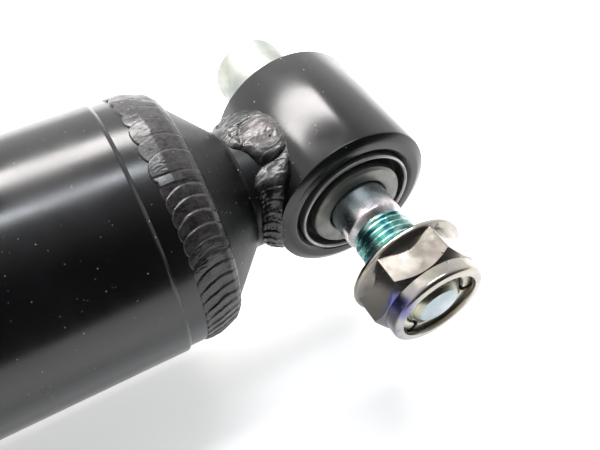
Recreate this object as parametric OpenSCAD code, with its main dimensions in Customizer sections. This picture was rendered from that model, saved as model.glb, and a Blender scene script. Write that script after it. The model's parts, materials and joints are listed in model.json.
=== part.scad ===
// Motorcycle rear shock absorber: a welded steel gas damper inside an outer coil spring.
// It lies along +X. The origin is the centre of the welded eye, +Y runs along the
// eye's pivot bolt towards its nut, and +Z is up. The far end carries a clevis.

/* [Damper] */
// Outside diameter of the damper tube
tube_d = 50; // [49.5:0.1:50.4]
// Wall thickness of the damper tube
tube_wall = 2; // [1.9:0.1:2.2]
// Diameter of the piston rod
rod_d = 14; // [13:0.5:15]
// Travel of the rod until the bump stop meets the dust cap
stroke = 60; // [50:1:60]

/* [Eye] */
// Outside diameter of the eye
eye_d = 33; // [32:0.5:34]
// Width of the eye across its two end faces
eye_w = 29.4; // [29:0.2:30]
// Outside diameter of the rubber bush's steel shell
bush_d = 24; // [23.5:0.1:24.2]
// Outside diameter of the bush's inner sleeve
sleeve_d = 19.2; // [18:0.2:20]
// Length of the bush's inner sleeve
sleeve_w = 31.8; // [31:0.2:32]
// Diameter of the pivot bolt's plain shank
bolt_d = 12; // [11.8:0.05:12.1]
// Diameter of the pivot bolt's round head
head_d = 16.5; // [15:0.5:18]
// Width of the nut across its flats
nut_af = 19; // [18:0.1:19]

/* [Spring] */
// Outside diameter of the coil spring
spring_d = 77; // [74:0.5:77]
// Diameter of the spring wire
wire_d = 11; // [9:0.5:11]
// Turns of the spring, with its closed end turns
spring_turns = 7.5; // [6.5:0.5:8]
// Outside diameter of both spring seats
seat_d = 83; // [83:0.5:86]
// Travel of the preload seat from firm to soft
preload = 8; // [4:0.5:8]

/* [Clevis] */
// Gap between the clevis ears
clevis_gap = 22; // [20:0.5:24]
// Thickness of each clevis ear
ear_t = 9; // [8:0.5:10]
// Diameter of the clevis holes
clevis_hole = 10.2; // [10:0.1:12.2]

/* [Hidden] */
$fn = 96;

tube_r = tube_d / 2;
bore_r = tube_r - tube_wall;
band_r = tube_r - 0.6;
rod_r = rod_d / 2;
spigot_r = rod_r - 2;
needle_r = 1.5;
eye_r = eye_d / 2;
neck_r = 12.4;
gas_hole_r = 2.2;
run = 0.05;

// Stations along the shock, from the eye's centre
x_cone = 21;
x_bead = 29;
x_tube = 33;
x_bead_end = 36.5;
x_step = 39.8;
x_gas_piston = 84;
x_lug = 86;
x_cam = 103;
x_seat = 115;
x_spring = 119;
x_nut = 155;
x_piston = 164;
x_shoulder = 180;
x_guide = 186.3;
x_seal = 196;
x_guide_end = 199;
x_tube_end = 205;
x_cap_end = 207.5;
x_spring_end = 287;
x_clevis = 294;
x_screw = 300;
x_fork = 308;
x_pivot = 318;

// The ramps' high ends, and the bump stop, which stays clear of the wiper at full stroke
x_ramp = x_cam - preload;
x_bump = x_cap_end + 1.5 + stroke;

// Preload cam: two ramps, each rising by the preload over ramp_angle
ramp_angle = 165;
ramp_r1 = 26;
ramp_r2 = 31;
lug_w = 8;
coil_r = (spring_d - wire_d) / 2;

// Turns an outline of [radius, distance] points round the X or the Y axis
module turned_x(outline) rotate([0, 90, 0]) rotate_extrude() polygon(outline);
module turned_y(outline) rotate([-90, 0, 0]) rotate_extrude() polygon(outline);

// A plain ring round the X axis, and one with a round section
module ring_x(r1, r2, x1, x2) turned_x([[r1, x1], [r2, x1], [r2, x2], [r1, x2]]);
module o_ring(r, wire_r, x)
    translate([x, 0, 0]) rotate([0, 90, 0]) rotate_extrude() translate([r, 0]) circle(wire_r, $fn = 24);

// A rod along X, and a hole or pin along Y
module rod_x(r, x1, x2) translate([x1, 0, 0]) rotate([0, 90, 0]) cylinder(r = r, h = x2 - x1);
module rod_y(r, y1, y2) translate([0, y1, 0]) rotate([-90, 0, 0]) cylinder(r = r, h = y2 - y1);

// Places its child at each of count equal steps round the X axis
module round_x(count, start = 0)
    for (i = [0 : count - 1]) rotate([start + i * 360 / count, 0, 0]) children();

// Joins rings of equal point counts into one closed skin. A closed path joins its ends.
module skin(rings, closed = false) {
    m = len(rings[0]);
    n = len(rings);
    points = [for (ring = rings) for (p = ring) p];
    sides = [for (i = [0 : n - (closed ? 1 : 2)]) for (j = [0 : m - 1])
        [i * m + j, i * m + (j + 1) % m, ((i + 1) % n) * m + (j + 1) % m, ((i + 1) % n) * m + j]];
    ends = closed ? [] : [[for (j = [m - 1 : -1 : 0]) j], [for (j = [0 : m - 1]) (n - 1) * m + j]];
    polyhedron(points, concat(sides, ends), convexity = 10);
}

// ---- Eye, bush and pivot bolt ----

module eye_tube() color([0.09, 0.09, 0.10]) {
    face = eye_w / 2;
    rim = face - 0.8;
    r = bush_d / 2;
    turned_y([[r, -face + 1.1], [r + 1.2, -face], [eye_r - 1.7, -face], [eye_r, -rim],
        [eye_r, rim], [eye_r - 1.7, face], [r + 1.2, face], [r, face - 1.1]]);
}

module bush_shell() color([0.72, 0.72, 0.70]) {
    end = eye_w / 2 + 0.6;
    r = bush_d / 2;
    turned_y([[r - 0.7, -end + 0.3], [r - 0.4, -end], [r - 0.2, -end], [r, -end + 0.3],
        [r, end - 0.3], [r - 0.2, end], [r - 0.4, end], [r - 0.7, end - 0.3]]);
}

module bush_rubber() color([0.03, 0.03, 0.03]) {
    end = eye_w / 2 - 0.6;
    r1 = sleeve_d / 2 + run;
    r2 = bush_d / 2 - 0.7;
    mid = (r1 + r2) / 2;
    turned_y([[r1, -end], [mid, -end + 1.6], [r2, -end], [r2, end], [mid, end - 1.6], [r1, end]]);
}

module inner_sleeve() color([0.45, 0.46, 0.44]) {
    end = sleeve_w / 2;
    r1 = bolt_d / 2 + 0.2;
    r2 = sleeve_d / 2;
    turned_y([[r1, -end + 0.3], [r1 + 0.3, -end], [r2 - 0.4, -end], [r2, -end + 0.4],
        [r2, end - 0.4], [r2 - 0.4, end], [r1 + 0.3, end], [r1, end - 0.3]]);
}

// Round-headed bolt: head, plain shank, then the thread at its outside diameter
module pivot_bolt() color([0.80, 0.81, 0.80]) {
    head_in = -sleeve_w / 2 - 0.1;
    head_out = -33;
    socket_af = 8;
    head_r = head_d / 2;
    shank_r = bolt_d / 2;
    thread_r = shank_r - 0.15;
    difference() {
        turned_y([[0, head_out], [head_r - 1, head_out], [head_r, head_out + 1], [head_r, head_in],
            [shank_r, head_in], [shank_r, 22], [thread_r, 22.4], [thread_r, 41], [4.4, 42.2], [0, 42.2]]);
        translate([0, head_out - 1, 0]) rotate([-90, 0, 0])
            cylinder(d = socket_af / cos(30), h = 8, $fn = 6);
    }
}

// Flanged lock nut: washer face, cone, hexagon with chamfered corners, then a rolled collar
module flange_nut() color([0.85, 0.83, 0.76]) {
    thread_r = bolt_d / 2 - 0.15 + run;
    corner_r = nut_af / 2 / cos(30);
    difference() {
        union() {
            turned_y([[0, 31.6], [10.6, 31.6], [11.4, 32.0], [11.4, 32.7], [9.2, 35.1], [0, 35.1]]);
            intersection() {
                translate([0, 32.2, 0]) rotate([-90, 15, 0]) cylinder(r = corner_r, h = 7.3, $fn = 6);
                turned_y([[0, 31.6], [12, 31.6], [12, 37], [9.4, 39.5], [0, 39.5]]);
            }
            turned_y([[0, 39], [9.3, 39], [9.4, 41.4], [8.7, 42.3], [8.1, 42.4], [0, 42.4]]);
        }
        rod_y(thread_r, 31, 43);
        turned_y([[0, 39.6], [7.9, 39.6], [7.9, 41.4], [7.4, 41.7], [7.4, 43], [0, 43]]);
    }
}

// Friction ring held in the nut's collar
module nut_lock_ring() color([0.62, 0.60, 0.55])
    turned_y([[bolt_d / 2 - 0.1, 39.9], [7.8, 39.9], [7.8, 41.1], [bolt_d / 2 - 0.1, 41.1]]);

// ---- Damper body ----

// Cone, neck and spigot in one piece, hollowed on the gas side
module end_cap() color([0.11, 0.11, 0.12])
    difference() {
        turned_x([[0, 9], [neck_r, 9], [neck_r, x_cone - 0.4], [13.3, x_cone], [21, x_bead - 0.4],
            [22.7, 30.4], [bore_r, x_tube], [bore_r, 41], [bore_r - 3, 41], [bore_r - 5, 36.5],
            [10, 33.5], [0, 33]]);
        rod_y(eye_r, -20, 20);
        at_gas_hole(14) cylinder(r = gas_hole_r, h = 20);
    }

// The gas filling hole runs square to the cone, on the side away from the pivot nut.
// Its child starts at the given depth below the cone and grows outwards.
module at_gas_hole(depth)
    rotate([200, 0, 0]) translate([24.5, 16.9, 0]) rotate([0, 0, 45]) rotate([-90, 0, 0])
        translate([0, 0, -depth]) children();

// Steel plug pressed into the gas filling hole
module gas_plug() color([0.5, 0.5, 0.5]) at_gas_hole(3) cylinder(r = gas_hole_r, h = 3.6);

// Tube with a turned-down band at the welded end and a groove for its retaining ring
module damper_tube() color([0.10, 0.10, 0.11])
    turned_x([[bore_r, x_tube], [bore_r + 0.6, x_tube], [band_r, x_tube + 3], [band_r, x_step],
        [tube_r, x_step + 0.4], [tube_r, x_tube_end - 0.8], [tube_r - 0.8, x_tube_end],
        [bore_r, x_tube_end], [bore_r, 201.3], [bore_r + 1.1, 201.3], [bore_r + 1.1, 199.1],
        [bore_r, 199.1]]);

// Bead over the joint between the tube and the cap's cone
module cap_weld() color([0.13, 0.13, 0.14])
    turned_x([[band_r, x_bead_end], [24.5, 35.2], [24.3, 33.8], [23.7, 31.8], [23, 30], [22.3, x_bead],
        [21.5, x_bead - 0.5], [21, x_bead - 0.4], [22.7, 30.4], [bore_r, x_tube],
        [bore_r + 0.6, x_tube], [band_r, x_tube + 3]]);

// Fillet round the saddle where the neck meets the eye
module eye_weld() color([0.14, 0.14, 0.15]) {
    weld_r = 2.6;
    saddle = [for (a = [0 : 9 : 351]) let (z = neck_r * sin(a), y = neck_r * cos(a))
        [sqrt(eye_r * eye_r - z * z), y, z, a]];
    skin([for (s = saddle) [for (b = [0 : 45 : 315])
        let (out = weld_r * cos(b))
            [s[0] + 0.4 + weld_r * sin(b), s[1] + out * cos(s[3]), s[2] + out * sin(s[3])]]],
        closed = true);
}

module floating_piston() color([0.75, 0.76, 0.78])
    turned_x([[0, 90.5], [19, 90.5], [19, x_gas_piston], [22.4, x_gas_piston], [22.4, 86],
        [21, 86], [21, 88.8], [22.4, 88.8], [22.4, 90.2], [21.4, 90.2], [21.4, 92.6],
        [22.4, 92.6], [22.4, 94], [0, 94]]);

module floating_o_ring() color([0.04, 0.04, 0.04]) o_ring(22, 0.95, 87.4);

module floating_band() color([0.35, 0.22, 0.12]) ring_x(21.4, bore_r - run, 90.2, 92.6);

// Piston with six oil ports and a groove for its band
module main_piston() color([0.70, 0.71, 0.73])
    difference() {
        turned_x([[spigot_r, x_piston], [22.5, x_piston], [22.5, x_piston + 2], [21.4, x_piston + 2],
            [21.4, x_piston + 8], [22.5, x_piston + 8], [22.5, x_piston + 10], [spigot_r, x_piston + 10]]);
        round_x(6) translate([x_piston - 1, 14.5, 0]) rotate([0, 90, 0]) cylinder(r = 2.6, h = 12);
    }

module piston_band() color([0.30, 0.24, 0.16]) ring_x(21.4, bore_r - run, x_piston + 2, x_piston + 8);

// Stack of thin discs, each smaller than the last, growing away from the piston's face
module shim_stack(x, step, radii)
    for (i = [0 : len(radii) - 1]) ring_x(spigot_r, radii[i], x + i * step, x + i * step + 0.4 * sign(step));

module compression_shims() color([0.62, 0.63, 0.65])
    shim_stack(x_piston - 0.1, -0.5, [19, 17.5, 16, 14, 12]);

module rebound_shims() color([0.62, 0.63, 0.65])
    shim_stack(x_piston + 10.1, 0.5, [18, 16.5, 15, 13, 11]);

module piston_nut() color([0.55, 0.56, 0.58])
    difference() {
        translate([x_nut, 0, 0]) rotate([0, 90, 0]) cylinder(d = 17 / cos(30), h = 6.3, $fn = 6);
        rod_x(spigot_r, x_nut - 1, x_nut + 8);
    }

module topout_washer() color([0.60, 0.61, 0.63]) ring_x(spigot_r, 13, 176.7, x_shoulder);

module topout_bumper() color([0.12, 0.10, 0.08])
    turned_x([[rod_r, x_shoulder + 0.3], [11.5, x_shoulder + 0.3], [12.5, x_shoulder + 1.5],
        [12.5, 184.6], [11.5, 185.8], [rod_r, 185.8]]);

// Hollow rod, stepped down for the piston at one end and for the clevis at the other.
// A cross hole lets the adjuster's tip reach the needle.
module piston_rod() color([0.85, 0.86, 0.87])
    difference() {
        turned_x([[needle_r + 0.5, x_nut - 2], [spigot_r - 0.6, x_nut - 2], [spigot_r, x_nut - 1.4],
            [spigot_r, x_shoulder], [rod_r, x_shoulder], [rod_r, x_clevis], [rod_r - 1, x_clevis],
            [rod_r - 1, x_fork - 2], [needle_r + 0.5, x_fork - 2]]);
        translate([x_screw, 0, 0]) cylinder(r = 2.7, h = 10);
    }

module rebound_needle() color([0.70, 0.71, 0.72])
    turned_x([[0, x_nut + 3], [0.5, x_nut + 3], [needle_r, x_nut + 8], [needle_r, x_screw - 3.3],
        [0, x_screw - 2]]);

module rod_guide() color([0.68, 0.69, 0.71])
    turned_x([[rod_r + 1, x_guide], [17, x_guide], [18, x_guide + 1], [18, 188.5], [22.9, 188.5],
        [22.9, 190.6], [21, 190.6], [21, 193.4], [22.9, 193.4], [22.9, x_guide_end],
        [rod_r + 6, x_guide_end], [rod_r + 6, x_seal], [rod_r + 1, x_seal]]);

module guide_bush() color([0.55, 0.42, 0.22]) ring_x(rod_r + run, rod_r + 1, x_guide, x_seal);

module guide_o_ring() color([0.04, 0.04, 0.04]) o_ring(21.98, 0.98, 192);

// Lip seal with a hollow between its two lips
module oil_seal() color([0.05, 0.05, 0.06])
    turned_x([[rod_r + run, x_seal], [rod_r + 6, x_seal], [rod_r + 6, x_guide_end],
        [rod_r + 3.5, x_guide_end], [rod_r + 2, x_seal + 1.2], [rod_r + run, x_guide_end]]);

// Wire ring in the tube's groove, with a gap to squeeze it by
module retaining_ring() color([0.40, 0.41, 0.43])
    difference() {
        o_ring(bore_r - 0.05, 1.05, 200.2);
        translate([198, -3, 10]) cube([4, 6, 20]);
    }

module dust_cap() color([0.12, 0.12, 0.13])
    turned_x([[rod_r + 2.5, 203], [17, 203], [17, 201.6], [22.8, 201.6], [22.8, x_tube_end],
        [tube_r, x_tube_end], [tube_r, x_cap_end - 0.8], [tube_r - 0.8, x_cap_end],
        [rod_r + 2.5, x_cap_end]]);

module wiper_seal() color([0.05, 0.05, 0.06])
    turned_x([[rod_r + 0.8, 203], [rod_r + 2.5, 203], [rod_r + 2.5, x_cap_end],
        [rod_r + 1.6, x_cap_end + 1], [rod_r + run, x_cap_end + 1], [rod_r + run, x_cap_end]]);

// ---- Rod end ----

// Waisted foam buffer, its far end on the bump washer
module bump_stop() color([0.78, 0.70, 0.42])
    turned_x([[rod_r, x_bump], [10.5, x_bump], [13, x_bump + 1.4], [13, 272], [11.5, 273.4], [13.8, 275],
        [14.2, 277], [12.6, 278.8], [15, 281], [15.6, 284.8], [rod_r, 284.8]]);

module bump_washer() color([0.35, 0.36, 0.38])
    turned_x([[rod_r, 284.8], [15.6, 284.8], [15.6, 282.8], [16.8, 282.8], [16.8, 286.2], [rod_r, 286.2]]);

// Split collar that holds the lower seat: its slot lets it pass over the rod
module seat_stopper() color([0.50, 0.51, 0.53])
    difference() {
        turned_x([[rod_r, 286.2], [15, 286.2], [16, 287.6], [16, 291], [19, 291], [19, x_clevis],
            [rod_r, x_clevis]]);
        translate([286, -rod_r, 0]) cube([9, 2 * rod_r, 20]);
    }

// Deep dish with an inner rim that centres the spring
module lower_spring_seat() color([0.10, 0.10, 0.11]) {
    r = seat_d / 2;
    turned_x([[16, x_spring_end], [24.8, x_spring_end], [24.8, x_spring_end - 4], [26.8, x_spring_end - 4],
        [27.2, x_spring_end], [39.5, x_spring_end], [39.5, x_spring_end - 9], [r - 0.6, x_spring_end - 9],
        [r, x_spring_end - 8.4], [r, 289.5], [r - 1.5, 291], [16, 291]]);
}

// Round base, bored for the rod, with two ears and a cross hole for the adjuster
module lower_clevis() color([0.60, 0.61, 0.62]) {
    ear_r = 15;
    half = clevis_gap / 2;
    difference() {
        union() {
            rod_x(19, x_clevis, x_fork);
            for (side = [-1, 1]) translate([0, side * (half + ear_t / 2), 0]) {
                translate([x_pivot, 0, 0]) rotate([90, 0, 0])
                    cylinder(r = ear_r, h = ear_t, center = true);
                translate([x_clevis + 5, -ear_t / 2, -ear_r])
                    cube([x_pivot - x_clevis - 5, ear_t, 2 * ear_r]);
            }
        }
        translate([x_fork, -half, -20]) cube([40, clevis_gap, 40]);
        translate([x_pivot, 0, 0]) rotate([90, 0, 0]) cylinder(d = clevis_hole, h = 60, center = true);
        rod_x(rod_r - 1, x_clevis - 1, x_fork - 2);
        translate([x_screw, 0, 5]) cylinder(r = 4.2, h = 20);
    }
}

// Screw with a cone tip that the needle's end rides on
module rebound_adjuster() color([0.72, 0.60, 0.30])
    difference() {
        translate([x_screw, 0, 0]) rotate_extrude() polygon([[0, -0.6], [0.8, -0.6], [2.2, 2.2], [2.2, 6.6],
            [3.4, 6.6], [4.15, 7.4], [4.15, 11], [3.1, 11], [3.1, 13], [4.15, 13], [4.15, 20.4],
            [3.4, 21.2], [0, 21.2]]);
        translate([x_screw - 5, -0.6, 19.4]) cube([10, 1.2, 4]);
    }

module adjuster_o_ring() color([0.04, 0.04, 0.04])
    translate([x_screw, 0, 12]) rotate_extrude() translate([3.6, 0]) circle(0.5, $fn = 20);

// ---- Spring and preload adjuster ----

// Turns done and distance gone at step u of the coil: the end turns are closed
function coil_x(u) = let (closed = 1 / spring_turns, span = x_spring_end - x_spring - wire_d,
    lift = wire_d + 0.3)
    u < closed ? lift * u / closed
    : u > 1 - closed ? span - lift * (1 - u) / closed
    : lift + (span - 2 * lift) * (u - closed) / (1 - 2 * closed);

module coil_spring() color([0.75, 0.10, 0.08]) {
    steps = 20 * spring_turns;
    skin([for (i = [0 : steps]) let (a = i * 18, x = x_spring + wire_d / 2 + coil_x(i / steps))
        [for (b = [0 : 45 : 315]) let (r = coil_r + wire_d / 2 * cos(b))
            [x + wire_d / 2 * sin(b), r * cos(a), r * sin(a)]]]);
}

// Seat that slides on the tube without turning
module upper_spring_seat() color([0.10, 0.10, 0.11]) {
    r = seat_d / 2;
    turned_x([[tube_r + 0.3, x_seat], [r - 1.5, x_seat], [r, x_seat + 1.5], [r, x_spring + 3.4],
        [r - 0.6, x_spring + 4], [39.5, x_spring + 4], [39.5, x_spring], [27.2, x_spring],
        [26.8, x_spring + 4], [tube_r + 0.3, x_spring + 4]]);
}

module seat_washer() color([0.85, 0.84, 0.78]) ring_x(tube_r + 0.3, 33, x_seat - 2, x_seat);

// Ring with two helical ramps towards the eye and six notches for a hook spanner
module preload_cam() color([0.62, 0.63, 0.65]) {
    difference() {
        ring_x(tube_r + 0.3, 33, x_cam, x_seat - 2.3);
        round_x(6, 30) translate([x_cam + 2.5, 30.5, -2.5]) cube([5, 5, 5]);
    }
    for (k = [0, 1]) rotate([90 - 8 + 180 * k, 0, 0]) ramp();
}

// One ramp: it stands full height at its start and falls to the ring over ramp_angle
module ramp()
    skin([for (a = [0 : 5 : ramp_angle - 5]) let (x = x_cam - preload * (1 - a / ramp_angle))
        [for (p = [[ramp_r1, x], [ramp_r2, x], [ramp_r2, x_cam + 1], [ramp_r1, x_cam + 1]])
            [p[1], p[0] * cos(a), p[0] * sin(a)]]]);

// Two lugs welded to the tube, which the ramps bear on
module cam_lugs() color([0.12, 0.12, 0.13])
    for (side = [0, 180]) rotate([side, 0, 0]) difference() {
        translate([x_lug, -lug_w / 2, tube_r - 1]) cube([x_ramp - 0.4 - x_lug, lug_w, ramp_r2 - tube_r + 1]);
        rod_x(tube_r, x_lug - 1, x_ramp + 1);
    }

eye_tube();
end_cap();
gas_plug();
cap_weld();
eye_weld();
damper_tube();
bush_shell();
bush_rubber();
inner_sleeve();
pivot_bolt();
flange_nut();
nut_lock_ring();
floating_piston();
floating_o_ring();
floating_band();
main_piston();
piston_band();
compression_shims();
rebound_shims();
piston_nut();
topout_washer();
topout_bumper();
piston_rod();
rebound_needle();
rod_guide();
guide_bush();
guide_o_ring();
oil_seal();
retaining_ring();
dust_cap();
wiper_seal();
bump_stop();
bump_washer();
seat_stopper();
lower_spring_seat();
lower_clevis();
rebound_adjuster();
adjuster_o_ring();
coil_spring();
upper_spring_seat();
seat_washer();
preload_cam();
cam_lugs();
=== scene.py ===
"""Rear shock absorber of a motorcycle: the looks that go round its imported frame.

Everything is in metres, in the frame's own axes: +X runs down the shock from the welded eye,
+Y along the eye's pivot bolt towards its nut, +Z up. Outlines are given in millimetres.
"""
import json
import math

import bpy
from mathutils import Matrix, Vector, noise


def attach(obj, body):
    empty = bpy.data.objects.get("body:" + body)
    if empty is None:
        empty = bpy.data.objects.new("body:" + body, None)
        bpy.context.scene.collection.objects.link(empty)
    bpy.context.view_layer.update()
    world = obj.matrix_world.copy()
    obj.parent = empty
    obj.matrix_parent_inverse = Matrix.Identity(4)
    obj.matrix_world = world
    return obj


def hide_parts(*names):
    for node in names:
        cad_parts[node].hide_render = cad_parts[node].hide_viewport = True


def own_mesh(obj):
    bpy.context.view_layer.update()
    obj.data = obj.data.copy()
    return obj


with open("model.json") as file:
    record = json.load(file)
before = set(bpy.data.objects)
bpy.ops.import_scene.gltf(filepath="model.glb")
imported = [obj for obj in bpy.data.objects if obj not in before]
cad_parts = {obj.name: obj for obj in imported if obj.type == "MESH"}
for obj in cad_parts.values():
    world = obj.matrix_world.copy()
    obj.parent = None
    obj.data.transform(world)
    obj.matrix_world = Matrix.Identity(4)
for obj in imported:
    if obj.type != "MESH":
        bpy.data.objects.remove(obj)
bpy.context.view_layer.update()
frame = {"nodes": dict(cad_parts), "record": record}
NODES = frame["nodes"]
MM = 0.001
TAU = 2 * math.pi
AXES = {"X": Vector((1, 0, 0)), "Y": Vector((0, 1, 0)), "Z": Vector((0, 0, 1))}

# Stations along the shock and main radii, in millimetres, the same as in the frame
EYE_R, EYE_FACE, BUSH_R, SLEEVE_R, SHANK_R, HEAD_R = 16.5, 14.7, 12.0, 9.6, 6.0, 8.25
TUBE_R, BAND_R, BORE_R, NECK_R, ROD_R = 25.0, 24.4, 23.0, 12.4, 7.0
X_CONE, X_BEAD, X_TUBE, X_BEAD_END, X_STEP = 21.0, 29.0, 33.0, 36.5, 39.8
X_CAM, X_SEAT, X_SPRING, X_TUBE_END, X_CAP_END = 103.0, 115.0, 119.0, 205.0, 207.5
X_SPRING_END, X_CLEVIS, X_SCREW, X_FORK, X_PIVOT = 287.0, 294.0, 300.0, 308.0, 318.0
X_SEAL, X_STOP, X_WASHER_BACK, X_SEAT_BACK = 203.0, 284.8, 286.2, 291.0
SEAT_R, WIRE_R, COIL_R, SPRING_TURNS = 41.5, 5.5, 33.0, 7.5
GROOVE_IN, GROOVE_OUT, CAM_RIM, SLIDE_BORE = 27.2, 39.5, 33.0, TUBE_R + 0.3
STROKE, PRELOAD, RAMP_ANGLE = 60.0, 8.0, 165.0
THREAD_PITCH, NUT_FLATS, SOCKET_FLATS = 1.25, 19.0, 8.0
NUT_TURN = -15  # degrees, how the nut's hexagon stands
X_LUG, LUG_W, RAMP_R1, RAMP_R2 = 86.0, 8.0, 26.0, 31.0
X_NUT, X_SHOULDER = 155.0, 180.0
CLEVIS_GAP, CLEVIS_HOLE, EAR_T, EAR_R = 22.0, 10.2, 9.0, 15.0


# ---- Workshop helpers ----

def deselect():
    """Leaves edit mode and drops every selection."""
    if bpy.context.mode != "OBJECT":
        bpy.ops.object.mode_set(mode="OBJECT")
    bpy.ops.object.select_all(action="DESELECT")


def pick(piece):
    """Makes one object the only selected and active one."""
    deselect()
    piece.select_set(True)
    bpy.context.view_layer.objects.active = piece


def edit(piece, mode="EDGE"):
    """Opens a piece in edit mode with nothing selected."""
    pick(piece)
    bpy.ops.object.mode_set(mode="EDIT")
    bpy.ops.mesh.select_mode(type=mode)
    bpy.ops.mesh.select_all(action="DESELECT")


def apply_modifier(piece, kind, **settings):
    """Adds a modifier, sets it and applies it."""
    pick(piece)
    modifier = piece.modifiers.new(kind.title(), kind)
    for key, value in settings.items():
        setattr(modifier, key, value)
    bpy.ops.object.modifier_apply(modifier=modifier.name)


def settle(piece):
    """Moves an object's place into its mesh, so that the object itself sits at the origin."""
    pick(piece)
    bpy.ops.object.transform_apply(location=True, rotation=True, scale=True)


def smooth(piece, degrees=32):
    """Shades the piece smooth, with sharp lines where it turns by more than the angle."""
    pick(piece)
    bpy.ops.object.shade_smooth_by_angle(angle=math.radians(degrees))


def soften(piece, width, segments=2, degrees=30):
    """Rounds the edges that turn by more than the angle."""
    apply_modifier(piece, "BEVEL", width=width * MM, segments=segments, limit_method="ANGLE",
                   angle_limit=math.radians(degrees), use_clamp_overlap=True)


def turned(name, outline, axis="X", steps=128, closed=True, soft=0.0, soft_angle=20):
    """A lathe piece: its outline of (radius, distance) points is drawn by pulling out one vertex,
    then spun once round the axis."""
    outwards = AXES["X" if axis == "Z" else "Z"]
    piece = drawn(name, [(AXES[axis] * distance + outwards * radius) * MM for radius, distance in outline])
    bpy.ops.mesh.select_all(action="SELECT")
    if closed:
        bpy.ops.mesh.edge_face_add()
        bpy.ops.mesh.delete(type="ONLY_FACE")
        bpy.ops.mesh.select_all(action="SELECT")
    bpy.ops.mesh.spin(steps=steps, angle=TAU, center=(0, 0, 0), axis=AXES[axis])
    bpy.ops.mesh.select_all(action="SELECT")
    bpy.ops.mesh.remove_doubles(threshold=0.002 * MM)
    bpy.ops.mesh.normals_make_consistent(inside=False)
    bpy.ops.object.mode_set(mode="OBJECT")
    if soft:
        soften(piece, soft, degrees=soft_angle)
    smooth(piece)
    return piece


def drawn(name, points):
    """A line through the points, drawn by pulling one vertex on from each to the next. It stays open
    in edit mode."""
    deselect()
    bpy.ops.mesh.primitive_plane_add(size=MM, location=points[0])
    piece = bpy.context.object
    piece.name = name
    settle(piece)
    bpy.ops.object.mode_set(mode="EDIT")
    bpy.ops.mesh.select_mode(type="VERT")
    bpy.ops.mesh.select_all(action="SELECT")
    bpy.ops.mesh.merge(type="CENTER")
    for here, there in zip(points, points[1:]):
        bpy.ops.mesh.extrude_vertices_move(TRANSFORM_OT_translate={"value": there - here})
    return piece


def arc(centre, radius, start, end, count):
    """Points of a rounded stretch of an outline, in degrees from outwards towards along."""
    return [(centre[0] + radius * math.cos(math.radians(a)), centre[1] + radius * math.sin(math.radians(a)))
            for a in (start + (end - start) * i / (count - 1) for i in range(count))]


def cut(piece, tool, operation="DIFFERENCE"):
    """Cuts, joins or intersects a piece with a tool, which is then thrown away."""
    apply_modifier(piece, "BOOLEAN", object=tool, operation=operation, solver="EXACT")
    bpy.data.objects.remove(tool)
    return piece


def block(size, centre):
    """A plain block, for cutting or as the start of a casting. Sizes are in millimetres."""
    deselect()
    bpy.ops.mesh.primitive_cube_add(size=1, location=Vector(centre) * MM)
    tool = bpy.context.object
    tool.scale = Vector(size) * MM
    settle(tool)
    return tool


def bar(radius, length, centre, axis="X", sides=64):
    """A plain round or six-sided bar. Sizes are in millimetres."""
    deselect()
    turn = {"X": (0, math.pi / 2, 0), "Y": (-math.pi / 2, 0, 0), "Z": (0, 0, 0)}[axis]
    bpy.ops.mesh.primitive_cylinder_add(vertices=sides, radius=radius * MM, depth=length * MM,
                                        location=Vector(centre) * MM, rotation=turn)
    tool = bpy.context.object
    settle(tool)
    return tool


def turn_about(piece, axis, degrees):
    """Turns a piece about one of the frame's axes, right-handed."""
    piece.data.transform(Matrix.Rotation(math.radians(degrees), 4, axis))


def join(piece, other):
    """Makes another object's mesh part of this piece."""
    pick(piece)
    other.select_set(True)
    bpy.context.view_layer.objects.active = piece
    bpy.ops.object.join()


def copy_of(piece):
    """A copy with a mesh of its own."""
    other = piece.copy()
    other.data = piece.data.copy()
    bpy.context.scene.collection.objects.link(other)
    return other


def corners(flats):
    """Radius of a hexagon's corners, from the width across its flats."""
    return flats / 2 / math.cos(math.pi / 6)


def grid_piece(name, rows, columns, place, wrap_rows=True, wrap_columns=True):
    """A skin over a grid of points: place(row, column) gives each one in millimetres."""
    mesh = bpy.data.meshes.new(name)
    points = [place(i, j) * MM for i in range(rows) for j in range(columns)]
    faces = []
    for i in range(rows if wrap_rows else rows - 1):
        for j in range(columns if wrap_columns else columns - 1):
            k, m = (i + 1) % rows, (j + 1) % columns
            faces.append((i * columns + j, i * columns + m, k * columns + m, k * columns + j))
    mesh.from_pydata(points, [], faces)
    piece = bpy.data.objects.new(name, mesh)
    bpy.context.scene.collection.objects.link(piece)
    edit(piece, "FACE")
    bpy.ops.mesh.select_all(action="SELECT")
    bpy.ops.mesh.normals_make_consistent(inside=False)
    bpy.ops.object.mode_set(mode="OBJECT")
    smooth(piece, 70)
    return piece


def ease(value, low, high):
    """0 below low, 1 above high, and a smooth rise between them."""
    share = min(max((value - low) / (high - low), 0.0), 1.0)
    return share * share * (3 - 2 * share)


def hill(value, middle, width):
    """1 at the middle, falling away smoothly over the width on both sides."""
    return math.exp(-((value - middle) / width) ** 2)


def soft_noise(x, y=0.0, z=0.0):
    """Smooth noise from -1 to 1, the same on every run."""
    return noise.noise(Vector((x, y, z)))


def fill_ends(piece):
    """Closes the open ends of a swept piece."""
    edit(piece, "EDGE")
    bpy.ops.mesh.select_non_manifold(extend=False, use_wire=False, use_multi_face=False,
                                     use_non_contiguous=False, use_verts=False)
    bpy.ops.mesh.edge_face_add()
    bpy.ops.mesh.select_all(action="SELECT")
    bpy.ops.mesh.normals_make_consistent(inside=False)
    bpy.ops.object.mode_set(mode="OBJECT")


def finish_piece(piece, material, body):
    """Gives a piece its material, and says what it rides on and which node it stands for."""
    piece.data.materials.clear()
    piece.data.materials.append(material)
    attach(piece, body)
    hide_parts(piece.name.removesuffix("_finished"))
    return piece


# ---- Effects shared by several materials ----

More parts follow.
